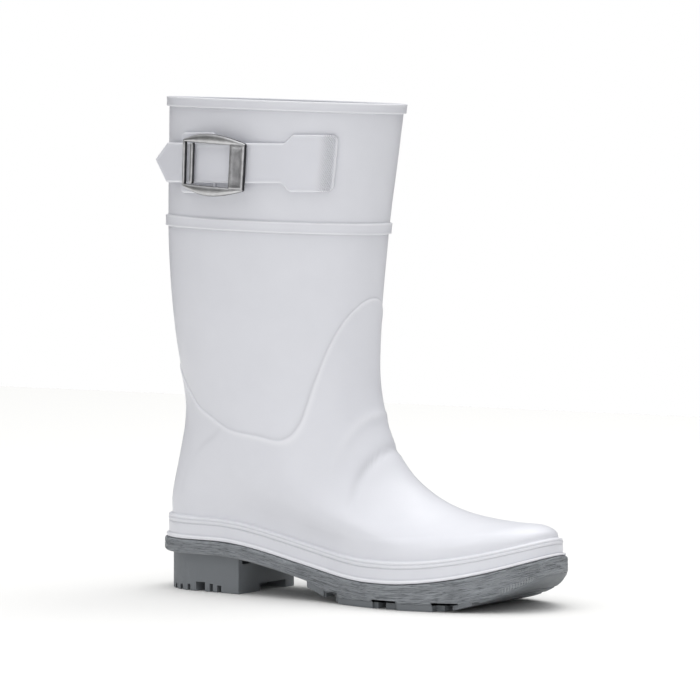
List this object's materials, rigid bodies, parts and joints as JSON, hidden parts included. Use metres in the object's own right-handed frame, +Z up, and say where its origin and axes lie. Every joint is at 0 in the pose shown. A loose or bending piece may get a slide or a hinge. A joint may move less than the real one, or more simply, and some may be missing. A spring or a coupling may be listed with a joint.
{
  "type": "rubber boot",
  "caption": "Child's mid-calf rubber rain boot with a block heel, side strap and metal buckle",
  "frame": {"origin": "middle of the footprint's box, on the floor that the boot stands on", "axes": "+X to the toe, +Y to the inner side of the foot, +Z up the shaft"},
  "size_m": [0.239, 0.0986, 0.2626],
  "materials": {
    "white_rubber": "smooth satin moulded rubber",
    "grey_rubber": "matte moulded rubber with a fine lengthwise grain",
    "footbed": "knitted lining cloth on foam",
    "strap_rubber": "smooth satin moulded rubber",
    "buckle_metal": "antique pewter plating, polished on its edges"
  },
  "bodies": {
    "root": {"upper": "white_rubber", "outsole": "grey_rubber", "insole": "footbed", "strap": "strap_rubber", "strap_anchor": "strap_rubber", "buckle": "buckle_metal", "buckle_bar": "buckle_metal"}
  },
  "joints": []
}
